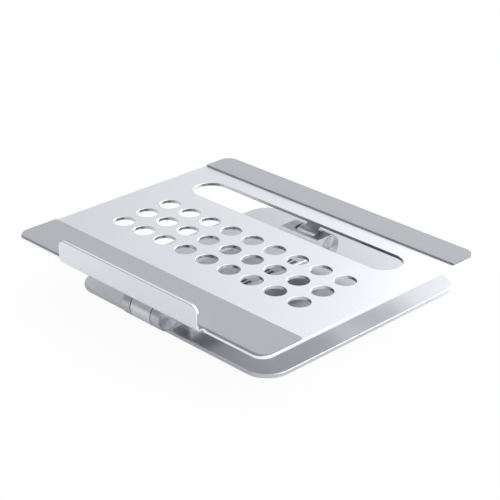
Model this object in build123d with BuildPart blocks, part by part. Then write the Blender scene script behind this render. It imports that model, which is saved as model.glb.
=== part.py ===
"""Folding laptop stand: a base plate, an arm with a friction hinge at each end, and a pierced tray.

X runs right, Y back and Z up. The origin is on the desk, under the middle of the whole footprint.
The stand is drawn folded flat, which is joint value 0 on both hinges.
"""
from build123d import *
from math import cos, radians, sin
import os

os.makedirs("parts", exist_ok=True)

# ---------------------------------------------------------------- base plate
BASE_W = 216.0
BASE_D = 217.0
BASE_T = 3.5
BASE_R = 21.0
BASE_EDGE = 0.5
FOOT_D = 18.0
FOOT_DROP = 2.0
FOOT_SEAT = 0.6
FOOT_INSET = 24.0
FOOT_GAP = 0.15
FOOT_EDGE = 0.6

# ------------------------------------------------ how the tray and the hinges stand over the base
TRAY_OVERHANG = 32.4
HINGE_OVERHANG = 12.6
AXIS_OVER_BASE = 20.4
AXIS_UNDER_TRAY = 18.5

# ------------------------------------------------ hinges, the same at both ends of the arm
BARREL_R = 10.5
HINGE_W = 40.0
KNUCKLE_W = 21.4
KNUCKLE_GAP = 0.8
PIN_D = 8.0
PIN_HEAD_D = 14.0
PIN_HEAD_T = 3.0
PIN_FIT = 0.05
PIN_EDGE = 0.5
BUSH_WALL = 2.0
BUSH_SEAT = 0.04
BUSH_SHORT = 0.1
BUSH_EDGE = 0.3
WASHER_OD = 16.0
WASHER_SIDE_GAP = 0.1
WASHER_CLEAR = 0.2
SPRING_OD = 15.0
SPRING_T = 0.9
SPRING_COUNT = 2
NUT_AF = 13.0
NUT_T = 2.0
STACK_GAP = 0.02
STACK_ROOM = 0.2
POCKET_CLEAR = 0.5
BORE_CLEAR = 0.1
CAP_WALL = 1.0
CAP_SEAT = 2.0
CAP_PROUD = 0.3
CAP_FIT = 0.05

# ---------------------------------------------------------------- arm
ARM_PLATE_W = 56.0
ARM_PLATE_T = 7.0
ARM_PLATE_R = 9.0
ARM_PLATE_SETBACK = 21.0
ARM_BLOCK_L = 15.0
ARM_BLOCK_SLOPE = 9.0
ARM_CREST_R = 5.0
ARM_EDGE = 0.6
NOTCH_CLEAR = 0.8

# ---------------------------------------------------------------- brackets
NECK_W = 14.0
NECK_ROOT_DEPTH = 0.5
NECK_OVERLAP = 3.0
NECK_SETBACK = 0.8
NECK_RAKE = 1.0
LOWER_NECK_FRONT_DEG = -23.5
LOWER_NECK_BACK_DEG = 37.0
LOWER_KNEE_REACH = 9.0
LOWER_KNEE_CLEAR = 1.3
UPPER_NECK_FRONT_DEG = 186.0
UPPER_NECK_BACK_DEG = 119.5
UPPER_NECK_START = 8.0
BRACKET_PAD_W = 40.0
BRACKET_PAD_L = 25.0
BRACKET_PAD_R = 3.0
LOWER_PAD_T = 5.0
LOWER_PAD_START = 20.5
UPPER_PAD_T = 4.0
UPPER_PAD_START = 12.0
UPPER_PAD_INSET = 1.0

# ---------------------------------------------------------------- countersunk screws
SCREW_D = 4.0
SCREW_MARGIN = 6.0
SCREW_LAND = 0.5
SCREW_SHORT = 0.6
SCREW_SOCKET_AF = 2.5
SCREW_SOCKET_DEPTH = 1.4
SCREW_CLEAR = 0.2
SCREW_TAP_CLEAR = 0.1
SCREW_SINK = 0.1
SCREW_RIM = 0.15
SCREW_TIP = 0.4

# ------------------------------------------------ tray, measured back from its front edge
TRAY_W = 272.0
TRAY_D = 229.0
TRAY_T = 2.5
TRAY_R = 10.0
TRAY_EDGE = 0.4
HOLE_D = 17.0
HOLE_PITCH = 24.0
HOLE_COLUMNS = 9
HOLE_ROWS = 3
HOLE_FIRST_ROW = 76.2
HOLE_EDGE = 0.25
SLOT_MARGIN = 27.0
SLOT_W = 30.0
SLOT_MIDDLE = 168.6
LIP_W = 152.5
LIP_H = 17.2
LIP_TOP_R = 6.5
LIP_BEND_R = 1.5
LIP_EDGE = 0.4
LIP_ROOT = 2.0
RELIEF_W = 2.4
RELIEF_DEPTH = 3.2

# ---------------------------------------------------------------- silicone pads on the tray
PAD_T = 1.3
PAD_INSET = 0.8
PAD_EDGE = 0.3
FRONT_PAD_D = 38.1
REAR_PAD_D = 27.2

# ------------------------------------------------ levels and places that follow from the sizes
base_bottom_z = FOOT_DROP
base_top_z = base_bottom_z + BASE_T
axis_z = base_top_z + AXIS_OVER_BASE
tray_bottom_z = axis_z + AXIS_UNDER_TRAY
tray_top_z = tray_bottom_z + TRAY_T
lip_outer_r = LIP_BEND_R + TRAY_T
footprint_d = lip_outer_r + TRAY_OVERHANG + BASE_D
base_rear_y = footprint_d / 2
base_front_y = base_rear_y - BASE_D
base_mid_y = (base_front_y + base_rear_y) / 2
tray_front_y = base_front_y - TRAY_OVERHANG
tray_rear_y = tray_front_y + TRAY_D
tray_mid_y = (tray_front_y + tray_rear_y) / 2
lower_axis_y = base_front_y - HINGE_OVERHANG
upper_axis_y = tray_rear_y - UPPER_PAD_INSET - BRACKET_PAD_L - UPPER_PAD_START
axis_spacing = upper_axis_y - lower_axis_y
arm_mid_y = (lower_axis_y + upper_axis_y) / 2
arm_ends = ((lower_axis_y, 1), (upper_axis_y, -1))
axis_spots = [(y, axis_z) for y, way in arm_ends]

knuckle_half = KNUCKLE_W / 2
cheek_inner_x = knuckle_half + KNUCKLE_GAP
hinge_half = HINGE_W / 2
bush_r = PIN_D / 2 + BUSH_WALL
stack_t = SPRING_COUNT * SPRING_T + NUT_T
pocket_depth = CAP_SEAT + max(PIN_HEAD_T, stack_t) + STACK_ROOM
pocket_floor_x = hinge_half - pocket_depth
pocket_r = max(PIN_HEAD_D / 2, SPRING_OD / 2, NUT_AF / 2 / cos(radians(30))) + POCKET_CLEAR
cap_r = BARREL_R - CAP_WALL
notch_reach = BARREL_R + NOTCH_CLEAR

lower_pad_front_y = lower_axis_y + LOWER_PAD_START
upper_pad_front_y = upper_axis_y + UPPER_PAD_START
lower_screw_y = lower_pad_front_y + BRACKET_PAD_L / 2
upper_screw_y = upper_pad_front_y + BRACKET_PAD_L / 2
screw_pitch_x = BRACKET_PAD_W - 2 * SCREW_MARGIN
screw_pitch_y = BRACKET_PAD_L - 2 * SCREW_MARGIN
screw_r = SCREW_D / 2
screw_head_r = screw_r + min(BASE_T, TRAY_T) - SCREW_LAND
foot_spots = [
    (sx * (BASE_W / 2 - FOOT_INSET), base_mid_y + sy * (BASE_D / 2 - FOOT_INSET))
    for sx in (-1, 1)
    for sy in (-1, 1)
]


def on_barrel(axis_y, degrees):
    """A point just under a barrel's surface, this many degrees from straight down towards the back."""
    root_r = BARREL_R - NECK_ROOT_DEPTH
    return (axis_y + root_r * sin(radians(degrees)), axis_z - root_r * cos(radians(degrees)))


# ================================================================ base plate
with BuildPart() as base_plate:
    with BuildSketch(Plane.XY.offset(base_bottom_z)):
        with Locations((0, base_mid_y)):
            RectangleRounded(BASE_W, BASE_D, BASE_R)
    extrude(amount=BASE_T)
    chamfer(base_plate.faces().sort_by(Axis.Z)[-1].outer_wire().edges(), BASE_EDGE)
    chamfer(base_plate.faces().sort_by(Axis.Z)[0].outer_wire().edges(), BASE_EDGE)
    # shallow seats that the feet are glued into
    with BuildSketch(Plane.XY.offset(base_bottom_z)):
        with Locations(*foot_spots):
            Circle(FOOT_D / 2 + FOOT_GAP)
    extrude(amount=FOOT_SEAT, mode=Mode.SUBTRACT)
    # countersunk from below for the screws of the lower bracket
    with Locations(Plane(origin=(0, lower_screw_y, base_bottom_z), z_dir=(0, 0, -1))):
        with GridLocations(screw_pitch_x, screw_pitch_y, 2, 2):
            CounterSinkHole(screw_r + SCREW_CLEAR, screw_head_r + SCREW_CLEAR, depth=BASE_T)
base_plate.part.label = "base_plate"
export_step(base_plate.part, "parts/base_plate.step")

# ================================================================ base feet, four separate discs
with BuildPart() as base_feet:
    with BuildSketch(Plane.XY):
        with Locations(*foot_spots):
            Circle(FOOT_D / 2)
    extrude(amount=FOOT_DROP + FOOT_SEAT)
    fillet(base_feet.faces().filter_by(Axis.Z).group_by(Axis.Z)[0].edges(), FOOT_EDGE)
base_feet.part.label = "base_feet"
export_step(base_feet.part, "parts/base_feet.step")

# ================================================ lower bracket: knuckle, neck and pad on the base plate
with BuildPart() as lower_bracket:
    with BuildSketch(Plane.YZ):
        with Locations((lower_axis_y, axis_z)):
            Circle(BARREL_R)
    extrude(amount=knuckle_half, both=True)
    with BuildSketch(Plane.YZ):
        with BuildLine():
            Polyline(
                on_barrel(lower_axis_y, LOWER_NECK_FRONT_DEG),
                (base_front_y + NECK_SETBACK, base_top_z),
                (lower_pad_front_y + NECK_OVERLAP, base_top_z),
                (lower_pad_front_y + NECK_OVERLAP, base_top_z + LOWER_PAD_T),
                (lower_pad_front_y - NECK_RAKE, base_top_z + LOWER_PAD_T),
                (lower_axis_y + LOWER_KNEE_REACH, axis_z - BARREL_R - LOWER_KNEE_CLEAR),
                on_barrel(lower_axis_y, LOWER_NECK_BACK_DEG),
                close=True,
            )
        make_face()
    extrude(amount=NECK_W / 2, both=True)
    with BuildSketch(Plane.XY.offset(base_top_z)):
        with Locations((0, lower_screw_y)):
            RectangleRounded(BRACKET_PAD_W, BRACKET_PAD_L, BRACKET_PAD_R)
    extrude(amount=LOWER_PAD_T)
    # bore for the friction bush
    with BuildSketch(Plane.YZ):
        with Locations((lower_axis_y, axis_z)):
            Circle(bush_r + BUSH_SEAT)
    extrude(amount=hinge_half, both=True, mode=Mode.SUBTRACT)
    # tapped holes
    with BuildSketch(Plane.XY.offset(base_top_z)):
        with Locations((0, lower_screw_y)):
            with GridLocations(screw_pitch_x, screw_pitch_y, 2, 2):
                Circle(screw_r + SCREW_TAP_CLEAR)
    extrude(amount=LOWER_PAD_T, mode=Mode.SUBTRACT)
lower_bracket.part.label = "lower_bracket"
export_step(lower_bracket.part, "parts/lower_bracket.step")

# ================================================ upper bracket: knuckle, neck and pad under the tray
with BuildPart() as upper_bracket:
    with BuildSketch(Plane.YZ):
        with Locations((upper_axis_y, axis_z)):
            Circle(BARREL_R)
    extrude(amount=knuckle_half, both=True)
    with BuildSketch(Plane.YZ):
        with BuildLine():
            Polyline(
                on_barrel(upper_axis_y, UPPER_NECK_FRONT_DEG),
                (upper_axis_y + UPPER_NECK_START, tray_bottom_z),
                (upper_pad_front_y + NECK_OVERLAP, tray_bottom_z),
                (upper_pad_front_y + NECK_OVERLAP, tray_bottom_z - UPPER_PAD_T),
                (upper_pad_front_y - NECK_RAKE, tray_bottom_z - UPPER_PAD_T),
                on_barrel(upper_axis_y, UPPER_NECK_BACK_DEG),
                close=True,
            )
        make_face()
    extrude(amount=NECK_W / 2, both=True)
    with BuildSketch(Plane.XY.offset(tray_bottom_z)):
        with Locations((0, upper_screw_y)):
            RectangleRounded(BRACKET_PAD_W, BRACKET_PAD_L, BRACKET_PAD_R)
    extrude(amount=-UPPER_PAD_T)
    with BuildSketch(Plane.YZ):
        with Locations((upper_axis_y, axis_z)):
            Circle(bush_r + BUSH_SEAT)
    extrude(amount=hinge_half, both=True, mode=Mode.SUBTRACT)
    with BuildSketch(Plane.XY.offset(tray_bottom_z)):
        with Locations((0, upper_screw_y)):
            with GridLocations(screw_pitch_x, screw_pitch_y, 2, 2):
                Circle(screw_r + SCREW_TAP_CLEAR)
    extrude(amount=-UPPER_PAD_T, mode=Mode.SUBTRACT)
upper_bracket.part.label = "upper_bracket"
export_step(upper_bracket.part, "parts/upper_bracket.step")

# ================================================ arm: flat plate between two forked barrel ends
block_reach = ARM_BLOCK_L + ARM_BLOCK_SLOPE
plate_half = ARM_PLATE_T / 2
with BuildPart() as arm:
    with BuildSketch(Plane.YZ):
        with Locations(*axis_spots):
            Circle(BARREL_R)
        for y, way in arm_ends:
            with BuildLine():
                Polyline(
                    (y, axis_z - BARREL_R),
                    (y + way * ARM_BLOCK_L, axis_z - BARREL_R),
                    (y + way * block_reach, axis_z - plate_half),
                    (y + way * block_reach, axis_z + plate_half),
                    (y + way * ARM_BLOCK_L, axis_z + BARREL_R),
                    (y, axis_z + BARREL_R),
                    close=True,
                )
            make_face()
        with Locations((arm_mid_y, axis_z)):
            Rectangle(axis_spacing - 2 * ARM_BLOCK_L, ARM_PLATE_T)
    extrude(amount=hinge_half, both=True)
    # soften the crest of each end block
    crests = arm.edges().filter_by(Axis.X).filter_by(
        lambda e: abs(abs(e.center().Z - axis_z) - BARREL_R) < 0.01
        and min(abs(e.center().Y - y - way * ARM_BLOCK_L) for y, way in arm_ends) < 0.01
    )
    fillet(crests, ARM_CREST_R)
    with BuildSketch(Plane.XY.offset(axis_z - plate_half)):
        with Locations((0, arm_mid_y)):
            RectangleRounded(ARM_PLATE_W, axis_spacing - 2 * ARM_PLATE_SETBACK, ARM_PLATE_R)
    extrude(amount=ARM_PLATE_T)
    rims = arm.edges().filter_by(
        lambda e: abs(e.center().X) > hinge_half + ARM_EDGE
        and abs(abs(e.center().Z - axis_z) - plate_half) < 0.01
    )
    chamfer(rims, ARM_EDGE)
    # open each barrel for the bracket's knuckle
    for y, way in arm_ends:
        with BuildSketch(Plane.YZ):
            with Locations((y + way * (notch_reach - 2 * BARREL_R) / 2, axis_z)):
                Rectangle(notch_reach + 2 * BARREL_R, 4 * BARREL_R)
        extrude(amount=cheek_inner_x, both=True, mode=Mode.SUBTRACT)
    # pin bore, then the pocket for head, springs and nut, then the seat of the end cap
    with BuildSketch(Plane.YZ):
        with Locations(*axis_spots):
            Circle(PIN_D / 2 + BORE_CLEAR)
    extrude(amount=hinge_half, both=True, mode=Mode.SUBTRACT)
    for side in (-1, 1):
        with BuildSketch(Plane.YZ.offset(side * pocket_floor_x)):
            with Locations(*axis_spots):
                Circle(pocket_r)
        extrude(amount=side * pocket_depth, mode=Mode.SUBTRACT)
        with BuildSketch(Plane.YZ.offset(side * (hinge_half - CAP_SEAT))):
            with Locations(*axis_spots):
                Circle(cap_r + CAP_FIT)
        extrude(amount=side * CAP_SEAT, mode=Mode.SUBTRACT)
arm.part.label = "arm"
export_step(arm.part, "parts/arm.step")

# ================================================================ the pieces inside each hinge
washer_inner_x = knuckle_half + WASHER_SIDE_GAP
washer_t = KNUCKLE_GAP - 2 * WASHER_SIDE_GAP
spring_top_x = pocket_floor_x + SPRING_COUNT * SPRING_T
pin_end_x = spring_top_x + NUT_T
for name, y in (("lower", lower_axis_y), ("upper", upper_axis_y)):
    # friction bush, pressed into the bracket's knuckle
    with BuildPart() as bush:
        with BuildSketch(Plane.YZ):
            with Locations((y, axis_z)):
                Circle(bush_r)
                Circle(PIN_D / 2 + PIN_FIT, mode=Mode.SUBTRACT)
        extrude(amount=knuckle_half - BUSH_SHORT, both=True)
        chamfer(bush.faces().filter_by(Axis.X).edges().filter_by(GeomType.CIRCLE), BUSH_EDGE)
    bush.part.label = name + "_bush"
    export_step(bush.part, "parts/" + name + "_bush.step")

    # pin with a flat head on the left
    with BuildPart() as pin:
        with BuildSketch(Plane.YZ.offset(-pocket_floor_x)):
            with Locations((y, axis_z)):
                Circle(PIN_D / 2)
        extrude(amount=pocket_floor_x + pin_end_x)
        chamfer(pin.faces().sort_by(Axis.X)[-1].edges(), PIN_EDGE)
        with BuildSketch(Plane.YZ.offset(-pocket_floor_x)):
            with Locations((y, axis_z)):
                Circle(PIN_HEAD_D / 2)
        extrude(amount=-PIN_HEAD_T)
        chamfer(pin.faces().sort_by(Axis.X)[0].edges(), PIN_EDGE)
    pin.part.label = name + "_pin"
    export_step(pin.part, "parts/" + name + "_pin.step")

    # thrust washers, one in each gap between knuckle and cheek
    with BuildPart() as thrust:
        for side in (-1, 1):
            with BuildSketch(Plane.YZ.offset(side * washer_inner_x)):
                with Locations((y, axis_z)):
                    Circle(WASHER_OD / 2)
                    Circle(PIN_D / 2 + WASHER_CLEAR, mode=Mode.SUBTRACT)
            extrude(amount=side * washer_t)
    thrust.part.label = name + "_thrust_washers"
    export_step(thrust.part, "parts/" + name + "_thrust_washers.step")

    # spring washers under the nut
    with BuildPart() as springs:
        for k in range(SPRING_COUNT):
            with BuildSketch(Plane.YZ.offset(pocket_floor_x + k * SPRING_T)):
                with Locations((y, axis_z)):
                    Circle(SPRING_OD / 2)
                    Circle(PIN_D / 2 + WASHER_CLEAR, mode=Mode.SUBTRACT)
            extrude(amount=SPRING_T - STACK_GAP)
    springs.part.label = name + "_spring_washers"
    export_step(springs.part, "parts/" + name + "_spring_washers.step")

    # thin lock nut
    with BuildPart() as nut:
        with BuildSketch(Plane.YZ.offset(spring_top_x)):
            with Locations((y, axis_z)):
                RegularPolygon(NUT_AF / 2, 6, major_radius=False)
                Circle(PIN_D / 2 + BORE_CLEAR, mode=Mode.SUBTRACT)
        extrude(amount=NUT_T - STACK_GAP)
    nut.part.label = name + "_lock_nut"
    export_step(nut.part, "parts/" + name + "_lock_nut.step")

    # turned end caps
    with BuildPart() as caps:
        for side in (-1, 1):
            with BuildSketch(Plane.YZ.offset(side * (hinge_half - CAP_SEAT + STACK_GAP))):
                with Locations((y, axis_z)):
                    Circle(cap_r)
            extrude(amount=side * (CAP_SEAT + CAP_PROUD - STACK_GAP))
        outer = [caps.faces().sort_by(Axis.X)[0], caps.faces().sort_by(Axis.X)[-1]]
        chamfer([e for f in outer for e in f.edges()], CAP_PROUD)
    caps.part.label = name + "_end_caps"
    export_step(caps.part, "parts/" + name + "_end_caps.step")

# ================================================ countersunk screws, four per bracket
head_rim_r = screw_head_r - SCREW_SINK
neck_z = SCREW_SINK + SCREW_RIM + head_rim_r - screw_r
for name, y, face_z, way, grip in (
    ("lower", lower_screw_y, base_bottom_z, 1, BASE_T + LOWER_PAD_T),
    ("upper", upper_screw_y, tray_top_z, -1, TRAY_T + UPPER_PAD_T),
):
    # one screw, its head on Z 0 and its shank along +Z
    with BuildPart() as screw:
        with BuildSketch(Plane.XZ):
            with BuildLine():
                Polyline(
                    (0, SCREW_SINK),
                    (head_rim_r, SCREW_SINK),
                    (head_rim_r, SCREW_SINK + SCREW_RIM),
                    (screw_r, neck_z),
                    (screw_r, grip - SCREW_SHORT - SCREW_TIP),
                    (screw_r - SCREW_TIP, grip - SCREW_SHORT),
                    (0, grip - SCREW_SHORT),
                    close=True,
                )
            make_face()
        revolve(axis=Axis.Z)
        with BuildSketch(Plane.XY.offset(SCREW_SINK)):
            RegularPolygon(SCREW_SOCKET_AF / 2, 6, major_radius=False)
        extrude(amount=SCREW_SOCKET_DEPTH, mode=Mode.SUBTRACT)
    with BuildPart() as screw_set:
        with Locations(Plane(origin=(0, y, face_z), x_dir=(1, 0, 0), z_dir=(0, 0, way))):
            with GridLocations(screw_pitch_x, screw_pitch_y, 2, 2):
                add(screw.part)
    screw_set.part.label = name + "_bracket_screws"
    export_step(screw_set.part, "parts/" + name + "_bracket_screws.step")

# ================================================ tray: pierced sheet with a lip bent up along its front
lip_inner_y = tray_front_y - LIP_BEND_R
lip_outer_y = tray_front_y - lip_outer_r
lip_top_z = tray_top_z + LIP_H
bend_z = tray_top_z + LIP_BEND_R
with BuildPart() as tray:
    with BuildSketch(Plane.XY.offset(tray_bottom_z)):
        with Locations((0, tray_mid_y)):
            RectangleRounded(TRAY_W, TRAY_D, TRAY_R)
    extrude(amount=TRAY_T)
    chamfer(tray.faces().sort_by(Axis.Z)[-1].outer_wire().edges(), TRAY_EDGE)
    chamfer(tray.faces().sort_by(Axis.Z)[0].outer_wire().edges(), TRAY_EDGE)
    # bend relief at both ends of the lip
    with BuildSketch(Plane.XY.offset(tray_bottom_z)):
        with Locations(*[(side * (LIP_W + RELIEF_W) / 2, tray_front_y) for side in (-1, 1)]):
            SlotOverall(2 * RELIEF_DEPTH, RELIEF_W, rotation=90)
    extrude(amount=TRAY_T, mode=Mode.SUBTRACT)
    with BuildSketch(Plane.YZ):
        with BuildLine():
            Polyline(
                (tray_front_y, tray_bottom_z),
                (tray_front_y + LIP_ROOT, tray_bottom_z),
                (tray_front_y + LIP_ROOT, tray_top_z),
                (tray_front_y, tray_top_z),
            )
            CenterArc((tray_front_y, bend_z), LIP_BEND_R, 180, 90)
            Polyline(
                (lip_inner_y, bend_z),
                (lip_inner_y, lip_top_z),
                (lip_outer_y, lip_top_z),
                (lip_outer_y, bend_z),
            )
            CenterArc((tray_front_y, bend_z), lip_outer_r, 180, 90)
        make_face()
    extrude(amount=LIP_W / 2, both=True)
    lip_corners = tray.edges().filter_by(Axis.Y).group_by(Axis.Z)[-1]
    fillet(lip_corners, LIP_TOP_R)
    lip_rims = tray.edges().filter_by(
        lambda e: e.center().Z > bend_z + LIP_EDGE
        and min(abs(e.center().Y - lip_inner_y), abs(e.center().Y - lip_outer_y)) < 0.01
    )
    chamfer(lip_rims, LIP_EDGE)
    # ventilation holes, and the long slot behind them
    with BuildSketch(Plane.XY.offset(tray_bottom_z)):
        with Locations((0, tray_front_y + HOLE_FIRST_ROW + HOLE_PITCH * (HOLE_ROWS - 1) / 2)):
            with GridLocations(HOLE_PITCH, HOLE_PITCH, HOLE_COLUMNS, HOLE_ROWS):
                Circle(HOLE_D / 2)
        with Locations((0, tray_front_y + SLOT_MIDDLE)):
            SlotOverall(TRAY_W - 2 * SLOT_MARGIN, SLOT_W)
    extrude(amount=TRAY_T, mode=Mode.SUBTRACT)
    top_face = tray.faces().filter_by(Axis.Z).filter_by(
        lambda f: abs(f.center().Z - tray_top_z) < 0.01
    ).sort_by(SortBy.AREA)[-1]
    chamfer([e for w in top_face.inner_wires() for e in w.edges()], HOLE_EDGE)
    # countersunk from above for the screws of the upper bracket, under the rear pad
    with Locations(Plane(origin=(0, upper_screw_y, tray_top_z), z_dir=(0, 0, 1))):
        with GridLocations(screw_pitch_x, screw_pitch_y, 2, 2):
            CounterSinkHole(screw_r + SCREW_CLEAR, screw_head_r + SCREW_CLEAR, depth=TRAY_T)
tray.part.label = "tray"
export_step(tray.part, "parts/tray.step")

# ================================================================ silicone pads
pad_corner_r = TRAY_R - PAD_INSET
pad_w = TRAY_W - 2 * PAD_INSET
with BuildPart() as front_pad:
    with BuildSketch(Plane.XY.offset(tray_top_z)) as front_outline:
        with Locations((0, tray_front_y + PAD_INSET + FRONT_PAD_D / 2)):
            Rectangle(pad_w, FRONT_PAD_D)
        fillet(front_outline.vertices().group_by(Axis.Y)[0], pad_corner_r)
    extrude(amount=PAD_T)
    chamfer(front_pad.faces().sort_by(Axis.Z)[-1].edges(), PAD_EDGE)
front_pad.part.label = "front_pad"
export_step(front_pad.part, "parts/front_pad.step")

with BuildPart() as rear_pad:
    with BuildSketch(Plane.XY.offset(tray_top_z)) as rear_outline:
        with Locations((0, tray_rear_y - PAD_INSET - REAR_PAD_D / 2)):
            Rectangle(pad_w, REAR_PAD_D)
        fillet(rear_outline.vertices().group_by(Axis.Y)[-1], pad_corner_r)
    extrude(amount=PAD_T)
    chamfer(rear_pad.faces().sort_by(Axis.Z)[-1].edges(), PAD_EDGE)
rear_pad.part.label = "rear_pad"
export_step(rear_pad.part, "parts/rear_pad.step")
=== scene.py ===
import math

import bmesh
import bpy
import numpy as np
from mathutils import Matrix, Vector


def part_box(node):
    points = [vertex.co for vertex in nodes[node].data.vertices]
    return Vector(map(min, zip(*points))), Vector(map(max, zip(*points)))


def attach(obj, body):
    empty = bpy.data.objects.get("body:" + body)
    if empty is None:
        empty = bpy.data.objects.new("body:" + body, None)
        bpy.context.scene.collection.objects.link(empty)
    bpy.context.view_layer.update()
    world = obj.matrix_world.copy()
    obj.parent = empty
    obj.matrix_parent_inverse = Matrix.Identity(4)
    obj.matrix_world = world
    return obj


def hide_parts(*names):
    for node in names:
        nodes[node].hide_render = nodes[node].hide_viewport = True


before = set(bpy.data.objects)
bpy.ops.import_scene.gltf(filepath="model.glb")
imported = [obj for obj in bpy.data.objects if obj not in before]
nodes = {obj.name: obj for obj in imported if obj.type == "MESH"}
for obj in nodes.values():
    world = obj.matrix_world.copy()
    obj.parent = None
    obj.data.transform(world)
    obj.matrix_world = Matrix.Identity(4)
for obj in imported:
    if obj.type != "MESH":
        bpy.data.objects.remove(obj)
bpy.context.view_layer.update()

# ---------------------------------------------------------------- studio
# A product table: one long-lens camera over the right front corner, a pale floor, a white surround
# that is brighter behind on the right, and two softboxes. None of it belongs to the stand.
# Places are in metres, and angles in radians.
CAMERA_AT = (0.7367, -0.7236, 0.5328)
CAMERA_TURN = math.radians(45.57)
CAMERA_DIP = math.radians(25.55)
CAMERA_ROLL = math.radians(0.13)
CAMERA_LENS = 106.9

scene = bpy.context.scene
scene.view_settings.view_transform = "Standard"
lens = bpy.data.cameras.new("camera")
lens.lens = CAMERA_LENS
lens.sensor_width = 36.0
lens.clip_start = 0.05
lens.clip_end = 20.0
camera = bpy.data.objects.new("camera", lens)
camera.matrix_world = (
    Matrix.Translation(CAMERA_AT)
    @ Matrix.Rotation(CAMERA_TURN, 4, "Z")
    @ Matrix.Rotation(math.pi / 2 - CAMERA_DIP, 4, "X")
    @ Matrix.Rotation(CAMERA_ROLL, 4, "Z")
)
scene.collection.objects.link(camera)
scene.camera = camera


class Value:
    """An output socket in a node tree. Each arithmetic sign on it adds a Math node."""

    def __init__(self, tree, socket):
        self.tree = tree
        self.socket = socket

    def node(self, kind, settings, inputs, output=0):
        """A new node of this kind: its settings are set first, then its sockets' values or links."""
        made = self.tree.nodes.new("ShaderNode" + kind)
        for name, setting in settings.items():
            setattr(made, name, setting)
        for name, value in inputs.items():
            if isinstance(value, Value):
                self.tree.links.new(value.socket, made.inputs[name])
            else:
                made.inputs[name].default_value = value
        return Value(self.tree, made.outputs[output])

    def sign(self, operation, first, second=0.0):
        """A Math node with this operation."""
        return self.node("Math", {"operation": operation}, {0: first, 1: second})

    def __add__(self, other):
        return self.sign("ADD", self, other)

    def __sub__(self, other):
        return self.sign("SUBTRACT", self, other)

    def __rsub__(self, other):
        return self.sign("SUBTRACT", other, self)

    def __mul__(self, other):
        return self.sign("MULTIPLY", self, other)

    def __gt__(self, other):
        return self.sign("GREATER_THAN", self, other)

    def __lt__(self, other):
        return self.sign("LESS_THAN", self, other)

    def __abs__(self):
        return self.sign("ABSOLUTE", self)

    __radd__ = __add__
    __rmul__ = __mul__

    def clamp(self, low, high):
        """The value, kept between these two."""
        return self.sign("MINIMUM", self.sign("MAXIMUM", self, low), high)

    def part(self, axis):
        """One axis of a vector."""
        return self.node("SeparateXYZ", {}, {"Vector": self}, axis)

    def noise(self, scale, detail=2.0):
        """Cloudy noise in places on the piece, moved to run from -0.5 to 0.5."""
        return self.node("TexNoise", {}, {"Vector": self, "Scale": scale, "Detail": detail}) - 0.5

    def blend(self, first, second):
        """The first colour where this value is 0 and the second where it is 1."""
        return self.node("Mix", {"data_type": "RGBA"}, {0: self, 6: first, 7: second}, 2)


def new_material(name, **sockets):
    """A material with one Principled shader. Gives back both, and places on the piece in metres."""
    made = bpy.data.materials.new(name)
    made.use_nodes = True
    tree = made.node_tree
    shader = tree.nodes["Principled BSDF"]
    for socket, value in sockets.items():
        shader.inputs[socket.replace("_", " ")].default_value = value
    return made, shader, Value(tree, tree.nodes.new("ShaderNodeTexCoord").outputs["Object"])


def grey(level):
    """A plain grey of this level."""
    return (level, level, level, 1.0)


def tinted(tone, colour):
    """The colour at this changing brightness."""
    channels = zip(("Red", "Green", "Blue"), colour)
    return tone.node("CombineColor", {}, {name: tone * part for name, part in channels})


def finish_with(shader, **sockets):
    """Links changing values to the shader's sockets of these names."""
    for socket, value in sockets.items():
        value.tree.links.new(value.socket, shader.inputs[socket.replace("_", " ")])


FLOOR_REACH = 6.0
FLOOR_PAINT = 0.72
FLOOR_GLOW = 0.20
FLOOR_WHITENESS = 0.94
floor_corners = [(x * FLOOR_REACH, y * FLOOR_REACH, 0) for x, y in ((-1, -1), (1, -1), (1, 1), (-1, 1))]
floor_mesh = bpy.data.meshes.new("floor")
floor_mesh.from_pydata(floor_corners, [], [(0, 1, 2, 3)])
floor = bpy.data.objects.new("floor", floor_mesh)
scene.collection.objects.link(floor)
# The floor is a lit white table to the eye, and a plain pale one to what stands on it. From below it
# isn't there, so that the underside of the stand can be looked at.
floor_paint, shader, place = new_material(
    "floor_paint",
    Base_Color=grey(FLOOR_PAINT),
    Roughness=0.9,
    Specular_IOR_Level=0.0,
    Emission_Color=(0.99, 0.995, 1.0, 1.0),
    Emission_Strength=FLOOR_GLOW,
)
floor_mesh.materials.append(floor_paint)
painted = Value(place.tree, shader.outputs[0])
lit = place.node("Emission", {}, {"Color": grey(1.0), "Strength": 1.0})
seen = place.node("LightPath", {}, {}, "Is Camera Ray")
from_above = place.node("MixShader", {}, {0: seen * FLOOR_WHITENESS, 1: painted, 2: lit})
below = place.node("NewGeometry", {}, {}, "Backfacing")
clear = place.node("BsdfTransparent", {}, {})
surface = place.node("MixShader", {}, {0: below, 1: from_above, 2: clear})
place.tree.links.new(surface.socket, place.tree.nodes["Material Output"].inputs["Surface"])

# The surround's brightness rises from the left front to the right rear, between two limits.
SURROUND = 0.955
SURROUND_RISE = 1.30
SURROUND_LIMITS = (-0.42, 0.60)
SURROUND_TINT = (0.985, 0.995, 1.015)
world = bpy.data.worlds.new("surround")
world.use_nodes = True
scene.world = world
glow = world.node_tree.nodes["Background"]
toward = Value(world.node_tree, world.node_tree.nodes.new("ShaderNodeTexCoord").outputs["Generated"])
side = ((toward.part("X") + toward.part("Y")) * math.sqrt(0.5)).clamp(*SURROUND_LIMITS)
level = side * SURROUND_RISE + SURROUND
seen = level.node("LightPath", {}, {}, "Is Camera Ray")
level = level * (1 - seen) + seen
world.node_tree.links.new(tinted(level, SURROUND_TINT).socket, glow.inputs["Color"])

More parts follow.
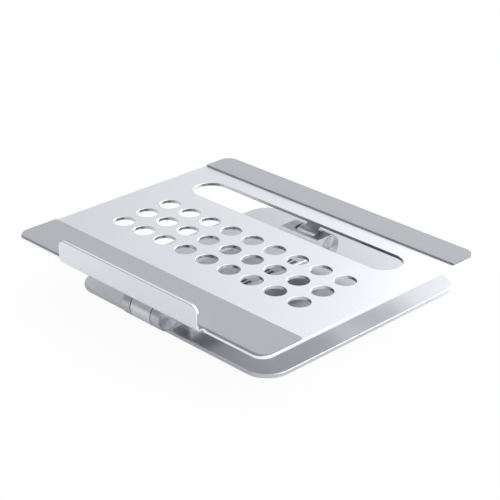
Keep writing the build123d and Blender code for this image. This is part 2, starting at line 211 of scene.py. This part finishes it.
# Each softbox's name, place, width and height in metres, and power in watts. Both face the stand.
SOFTBOXES = (
    ("left_softbox", (-1.03, -0.10, 1.23), (0.5, 1.1), 2.5),
    ("rear_softbox", (0.02, 0.75, 0.52), (0.6, 0.4), 2.4),
)
for name, spot, size, power in SOFTBOXES:
    softbox = bpy.data.lights.new(name, "AREA")
    softbox.shape = "RECTANGLE"
    softbox.size, softbox.size_y = size
    softbox.energy = power
    lamp = bpy.data.objects.new(name, softbox)
    aim = Vector(spot).to_track_quat("Z", "Y").to_matrix().to_4x4()
    lamp.matrix_world = Matrix.Translation(spot) @ aim
    scene.collection.objects.link(lamp)

# ---------------------------------------------------------------- base plate
# A flat aluminium plate with rounded corners. It is blasted with fine beads and anodised silver, and
# then its rim is cut bright, so the rim is smoother and lighter than the flats.
SILVER = (0.966, 0.988, 1.020)
# Painted shade: the base plate's silver is set darker than the tray's, for the shade it lies in under the
# tray.
BASE_SHADED_LEVEL = 0.62
BRIGHT_GAIN = 0.14
# Painted shade: how much darker the punched walls inside the tray's holes are painted.
WALL_SHADE = 0.16
BLAST_ROUGH = 0.38
BRIGHT_ROUGH = 0.20
BLAST_DEPTH = 0.00006
SQUARE_ON = 0.98
EDGE_ON = 0.1


def dress(material, *names):
    """The material goes on these CAD pieces, in every slot."""
    for name in names:
        slots = nodes[name].data.materials
        slots.clear()
        slots.append(material)


def blasted_aluminium(name, level, edges=None, marks=None):
    """Bead-blasted aluminium, anodised silver, of this brightness.

    edges(place, facing) is 1 on bright-cut edges, 0 on flats and -1 on punched walls, which are painted
    darker as painted shade and made smoother, and marks(place, facing) is 1 where ink is printed."""
    made, shader, place = new_material(name, Metallic=1.0)
    facing = place.node("TexCoord", {}, {}, "Normal")
    cut = shaded_wall = 0.0
    if edges:
        edge = edges(place, facing)
        cut = edge.clamp(0.0, 1.0)
        shaded_wall = (0 - edge).clamp(0.0, 1.0)
    fine = place.noise(2600.0)
    beads = place.noise(900.0)
    clouds = place.noise(24.0, 3.0)
    # Painted shade darkens the punched walls of the holes here.
    tone = level + cut * BRIGHT_GAIN - shaded_wall * WALL_SHADE
    colour = tinted(tone + fine * 0.08 + beads * 0.04 + clouds * 0.02, SILVER)
    roughness = BLAST_ROUGH - (cut + shaded_wall) * (BLAST_ROUGH - BRIGHT_ROUGH)
    pitting = (fine + beads) * (1 - cut)
    relief = pitting.node("Bump", {}, {"Height": pitting, "Strength": 0.32, "Distance": BLAST_DEPTH})
    if marks:
        inked = marks(place, facing)
        colour = inked.blend(colour, PRINT_INK)
        finish_with(shader, Metallic=1 - inked)
    finish_with(shader, Base_Color=colour, Roughness=roughness + beads * 0.05 + clouds * 0.05, Normal=relief)
    return made


def off_level(place, facing):
    """1 wherever the surface isn't level."""
    return abs(facing.part("Z")) < SQUARE_ON


dress(blasted_aluminium("base_aluminium", BASE_SHADED_LEVEL, off_level), "base_plate")

# ---------------------------------------------------------------- feet
# Four moulded rubber discs, glued into shallow seats under the base plate. Each has a rounded rim, a
# shallow dish below and a flat top inside its seat. Sizes are in millimetres here and below.
MM = 0.001
FOOT_RADIUS = 9.0
FOOT_RIM = 0.8
FOOT_DISH = 0.25
FOOT_DISH_RADIUS = 4.95
FOOT_DISH_LIP = 0.63
FOOT_DISH_RUN = 0.36
FOOT_TOP_BREAK = 0.2
FOOT_STEPS = 64
RUBBER_LEVEL = 0.030
RUBBER_BLACK = (1.0, 1.0, 1.06)


def turned(profile, centre, axis, steps):
    """A profile of (radius, height) points turned round an axis, as one ring for each profile point.

    Each point is the centre, plus its radius times the cosine and sine of its angle across the axis,
    plus its height along the axis. The profile starts and ends on the axis."""
    along = np.eye(3)["XYZ".index(axis)]
    across = np.roll(along, 1)
    third = np.cross(along, across)
    angle = np.linspace(0, 2 * np.pi, steps, endpoint=False)
    circle = np.cos(angle)[:, None] * across + np.sin(angle)[:, None] * third
    radius, height = np.asarray(profile, float).T
    return np.asarray(centre, float) + radius[:, None, None] * circle + height[:, None, None] * along


def arc(centre, radius, start, end, steps=6):
    """Points on part of a circle, between two angles in degrees.

    Each is the centre, plus the radius times the cosine and sine of its angle."""
    angle = np.radians(np.linspace(start, end, steps))
    return np.stack([centre[0] + radius * np.cos(angle), centre[1] + radius * np.sin(angle)], 1)


def closed_piece(name, ring_sets, material):
    """One object from sets of rings. Each ring joins the next, and the end rings close on themselves."""
    points, faces, start = [], [], 0
    for rings in ring_sets:
        rows, columns = rings.shape[:2]
        index = start + np.arange(rows * columns).reshape(rows, columns)
        beside = np.roll(index, -1, axis=1)
        faces.append(np.stack([index[:-1], beside[:-1], beside[1:], index[1:]], 2).reshape(-1, 4))
        points.append(rings.reshape(-1, 3))
        start += rows * columns
    mesh = bpy.data.meshes.new(name)
    mesh.from_pydata((np.concatenate(points) * MM).tolist(), [], np.concatenate(faces).tolist())
    form = bmesh.new()
    form.from_mesh(mesh)
    bmesh.ops.remove_doubles(form, verts=form.verts, dist=1e-6)
    bmesh.ops.dissolve_degenerate(form, edges=form.edges, dist=1e-7)
    bmesh.ops.recalc_face_normals(form, faces=form.faces)
    form.to_mesh(mesh)
    form.free()
    mesh.shade_smooth()
    mesh.materials.append(material)
    made = bpy.data.objects.new(name, mesh)
    scene.collection.objects.link(made)
    return made


def box_in_mm(node):
    """The lowest and highest corner of a CAD node."""
    return [np.array(corner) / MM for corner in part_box(node)]


foot_low, foot_high = box_in_mm("base_feet")
foot_height = foot_high[2]
foot_profile = np.concatenate([
    [(0.0, FOOT_DISH), (FOOT_DISH_RADIUS, FOOT_DISH)],
    arc((FOOT_DISH_RADIUS + FOOT_DISH_LIP, FOOT_DISH / 2), FOOT_DISH / 2, 90, 0, 3),
    [(FOOT_DISH_RADIUS + FOOT_DISH_LIP + FOOT_DISH_RUN, 0.0)],
    arc((FOOT_RADIUS - FOOT_RIM, FOOT_RIM), FOOT_RIM, -90, 0),
    [(FOOT_RADIUS, foot_height - FOOT_TOP_BREAK)],
    [(FOOT_RADIUS - FOOT_TOP_BREAK, foot_height), (0.0, foot_height)],
])
foot_rubber, shader, place = new_material("foot_rubber", Specular_IOR_Level=0.4)
grit = place.noise(1400.0)
finish_with(
    shader,
    Base_Color=tinted(RUBBER_LEVEL + grit * 0.012 + place.noise(60.0) * 0.006, RUBBER_BLACK),
    Roughness=0.72 + grit * 0.12,
    Normal=grit.node("Bump", {}, {"Height": grit, "Strength": 0.3, "Distance": 0.00008}),
)
feet = closed_piece(
    "rubber_feet",
    [
        turned(foot_profile, (x, y, 0.0), "Z", FOOT_STEPS)
        for x in (foot_low[0] + FOOT_RADIUS, foot_high[0] - FOOT_RADIUS)
        for y in (foot_low[1] + FOOT_RADIUS, foot_high[1] - FOOT_RADIUS)
    ],
    foot_rubber,
)
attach(feet, "base_assembly")
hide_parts("base_feet")

# ---------------------------------------------------------------- lower and upper bracket
# Each is one machined piece: a knuckle between the arm's cheeks, a neck and a pad that is screwed to the
# plate. They are blasted and anodised like the plates, but nothing on them is cut bright.
BRACKET_LEVEL = 0.74

dress(blasted_aluminium("bracket_aluminium", BRACKET_LEVEL), "lower_bracket", "upper_bracket")

# ---------------------------------------------------------------- screws, pins, spring washers, lock nuts
# Turned and hardened steel, bright zinc plated. The tool leaves fine rings round the hinge axis, and
# the plating has a faint blue and yellow cloud in it.
ZINC_BLUE = (0.56, 0.57, 0.60, 1.0)
ZINC_YELLOW = (0.64, 0.62, 0.57, 1.0)

hinge_steel, shader, place = new_material("hinge_steel", Metallic=1.0)
rings = place.node("Mapping", {}, {"Vector": place, "Scale": (40.0, 1.0, 1.0)}).noise(90.0)
cloud = place.noise(260.0, 3.0)
finish_with(
    shader,
    Base_Color=(cloud + 0.5).clamp(0.0, 1.0).blend(ZINC_BLUE, ZINC_YELLOW),
    Roughness=0.30 + rings * 0.16,
    Normal=rings.node("Bump", {}, {"Height": rings, "Strength": 0.2, "Distance": 0.00003}),
)
dress(hinge_steel, "lower_bracket_screws", "upper_bracket_screws", "lower_pin", "upper_pin")
dress(hinge_steel, "lower_spring_washers", "upper_spring_washers", "lower_lock_nut", "upper_lock_nut")

# ---------------------------------------------------------------- bushes and thrust washers
# The bushes are sintered bronze, speckled with open pores that hold oil. The thrust washers are dark
# acetal, matt from the mould.
BRONZE = (0.62, 0.42, 0.21, 1.0)
OILY_PORE = (0.30, 0.19, 0.10, 1.0)
PORE_SHARE = 0.12
ACETAL_LEVEL = 0.035
ACETAL_BLACK = (1.0, 1.0, 1.04)

bush_bronze, shader, place = new_material("bush_bronze", Metallic=1.0)
pores = place.noise(3200.0) > PORE_SHARE
finish_with(
    shader,
    Base_Color=pores.blend(BRONZE, OILY_PORE),
    Roughness=0.40 + pores * 0.25 + place.noise(120.0) * 0.08,
    Normal=pores.node("Bump", {}, {"Height": 1 - pores, "Strength": 0.3, "Distance": 0.00004}),
)
dress(bush_bronze, "lower_bush", "upper_bush")
acetal, shader, place = new_material("washer_acetal", Specular_IOR_Level=0.45)
skin = place.noise(1800.0)
finish_with(
    shader,
    Base_Color=tinted(ACETAL_LEVEL + skin * 0.010, ACETAL_BLACK),
    Roughness=0.48 + skin * 0.10,
    Normal=skin.node("Bump", {}, {"Height": skin, "Strength": 0.15, "Distance": 0.00004}),
)
dress(acetal, "lower_thrust_washers", "upper_thrust_washers")

# ---------------------------------------------------------------- arm
# A flat bar between two forked barrels, machined from one piece, blasted and anodised. Its chamfers are
# cut bright, and plain dark bars are printed in pairs along the right edge of its top face.
# Painted shade: the arm's silver is set darker than the tray's, for the shade it lies in under the tray.
ARM_SHADED_LEVEL = 0.58
PRINT_INK = (0.018, 0.022, 0.040, 1.0)
PRINT_X = (19.5, 24.0)
PRINT_Y = (-29.7, -5.7, 19.3)
PRINT_WIDTH = 2.8
PRINT_LENGTH = 12.0
LEANING = 0.2
FACING_UP = 0.9


def sloping_chamfers(place, facing):
    """1 on faces that lean both sideways and up or down, which are the bar's chamfers."""
    return abs(facing.part("X")) * abs(facing.part("Z")) > LEANING


def printed_bars(place, facing):
    """1 inside the bars on the top face."""
    x, y = place.part("X"), place.part("Y")
    columns = sum(abs(x - middle * MM) < PRINT_WIDTH / 2 * MM for middle in PRINT_X)
    rows = sum(abs(y - middle * MM) < PRINT_LENGTH / 2 * MM for middle in PRINT_Y)
    return columns * rows * (facing.part("Z") > FACING_UP)


dress(blasted_aluminium("arm_aluminium", ARM_SHADED_LEVEL, sloping_chamfers, printed_bars), "arm")

# ---------------------------------------------------------------- end caps
# Turned aluminium discs that close the barrels. The tool cuts fine rings into each outer face, so the
# light runs across it in bright wedges.
# Painted shade: the caps' silver is set far darker than the plates', for the shaded surroundings their turned
# faces reflect.
CAP_SHADED_LEVEL = 0.42
CAP_RADIUS = 9.5
CAP_THICKNESS = 2.28
CAP_RIM = 0.3
CAP_BREAK = 0.1
CAP_LAND = 0.35
RING_PITCH = 0.40
RING_DEPTH = 0.09
RING_STEPS = 6
CAP_STEPS = 72

cap_outer_x = box_in_mm("lower_end_caps")[1][0]
cap_inner_x = cap_outer_x - CAP_THICKNESS
groove_end = CAP_RADIUS - CAP_RIM - CAP_LAND
groove_radius = np.linspace(0.0, groove_end, int(groove_end / RING_PITCH) * RING_STEPS)
groove_height = -RING_DEPTH / 2 * (1 - np.cos(2 * np.pi * groove_radius / RING_PITCH))
cap_profile = np.concatenate([
    np.stack([groove_radius, cap_outer_x + groove_height], 1),
    [(CAP_RADIUS - CAP_RIM - CAP_BREAK, cap_outer_x)],
    arc((CAP_RADIUS - CAP_RIM, cap_outer_x - CAP_RIM), CAP_RIM, 90, 0),
    [(CAP_RADIUS, cap_inner_x), (CAP_RADIUS - CAP_BREAK, cap_inner_x), (0.0, cap_inner_x)],
])
turned_metal, shader, place = new_material("turned_aluminium", Metallic=1.0)
cloud = place.noise(90.0)
finish_with(
    shader,
    Base_Color=tinted(CAP_SHADED_LEVEL + cloud * 0.03, SILVER),
    Roughness=0.16 + place.noise(1500.0) * 0.06 + cloud * 0.04,
)
for end in ("lower", "upper"):
    low, high = box_in_mm(end + "_end_caps")
    right = turned(cap_profile, (low + high) / 2, "X", CAP_STEPS)
    caps = closed_piece(end + "_turned_caps", [right, right * (-1, 1, 1)], turned_metal)
    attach(caps, "arm_assembly")
    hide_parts(end + "_end_caps")

# ---------------------------------------------------------------- tray
# A 2.5 mm sheet with punched holes, a long slot and a lip folded up along its front. It is blasted and
# anodised, and its rims, the chamfers of its holes and the lip's edge are cut bright. Its punched walls
# inside the hole field are painted darker, as painted shade.
TRAY_LEVEL = 0.79
FIELD_HALF_WIDTH = 115.0
FIELD_FRONT = -60.0
FIELD_REAR = 70.0
LIP_START = 1.0

tray_top = box_in_mm("front_pad")[0][2]


def cut_rims(place, facing):
    """1 on rims and chamfers, -1 on punched walls inside the hole field, which get painted shade, and 0 on
    the sheet's level and the lip's upright faces.
    """
    above = place.part("Z") > (tray_top + LIP_START) * MM
    level = abs(facing.part("Z")) > SQUARE_ON
    upright = abs(facing.part("Y")) > SQUARE_ON
    # Painted shade: the sideways walls inside the hole field are marked to be painted darker.
    punched = (abs(facing.part("Z")) < EDGE_ON) * (abs(place.part("X")) < FIELD_HALF_WIDTH * MM)
    inside = (place.part("Y") > FIELD_FRONT * MM) * (place.part("Y") < FIELD_REAR * MM)
    return 1 - level * (1 - above) - upright * above - punched * inside * 2


dress(blasted_aluminium("tray_aluminium", TRAY_LEVEL, cut_rims), "tray")

# ---------------------------------------------------------------- front and rear pad
# Solid grey silicone strips, glued along the front and the rear of the tray. Their top edges are softly
# rounded from the mould, and their matt skin has a fine grain.
PAD_EDGE_ROUND = 0.45
PAD_EDGE_LAND = 0.1
PAD_CORNER = 9.2
PAD_SQUARE_CORNER = 1.2
PAD_EDGE_STEPS = 6
PAD_TOP_STEPS = 12
PAD_CORNER_STEPS = 9
SILICONE_LEVEL = 0.368
SILICONE_GREY = (0.965, 0.99, 1.03)


def strip_rings(low, high, front_corner, rear_corner):
    """Rings of a flat strip with rounded corners: outward below, up its side and inward over its top.

    A ring is the strip's outline drawn in by an inset: at each corner, a point is the corner's centre
    plus its radius less the inset, times the cosine and sine of its angle. The edge is a quarter circle
    of insets and heights."""
    bend = np.linspace(0, np.pi / 2, PAD_EDGE_STEPS)
    half_depth = (high[1] - low[1]) / 2
    below = np.linspace(half_depth, 0.0, PAD_EDGE_STEPS)
    above = np.linspace(PAD_EDGE_ROUND + PAD_EDGE_LAND, half_depth, PAD_TOP_STEPS)
    inset = np.concatenate([below, PAD_EDGE_ROUND * (1 - np.cos(bend)), above])[:, None]
    edge_height = high[2] - PAD_EDGE_ROUND * (1 - np.sin(bend))
    height = np.concatenate([0 * below + low[2], edge_height, 0 * above + high[2]])[:, None]
    turn = np.linspace(0, np.pi / 2, PAD_CORNER_STEPS)
    angle = np.concatenate([turn + quarter * np.pi / 2 for quarter in range(4)])
    right = np.repeat([1, -1, -1, 1], len(turn))
    back = np.repeat([1, 1, -1, -1], len(turn))
    radius = np.maximum(np.where(back > 0, rear_corner, front_corner) - inset, 0.0)
    x = np.where(right > 0, high[0], low[0]) - right * (inset + radius) + radius * np.cos(angle)
    y = np.where(back > 0, high[1], low[1]) - back * (inset + radius) + radius * np.sin(angle)
    return np.stack([x, y, height + 0 * x], 2)


silicone, shader, place = new_material("grey_silicone", Specular_IOR_Level=0.35)
grain = place.noise(1500.0)
dust = place.noise(40.0, 4.0)
finish_with(
    shader,
    Base_Color=tinted(SILICONE_LEVEL + grain * 0.06 + dust * 0.02, SILICONE_GREY),
    Roughness=0.62 + grain * 0.12 + dust * 0.05,
    Normal=grain.node("Bump", {}, {"Height": grain, "Strength": 0.5, "Distance": 0.0001}),
)
for node, front_corner, rear_corner in (
    ("front_pad", PAD_CORNER, PAD_SQUARE_CORNER),
    ("rear_pad", PAD_SQUARE_CORNER, PAD_CORNER),
):
    rings = strip_rings(*box_in_mm(node), front_corner, rear_corner)
    strip = closed_piece(node + "_silicone", [rings], silicone)
    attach(strip, "tray_assembly")
    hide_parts(node)
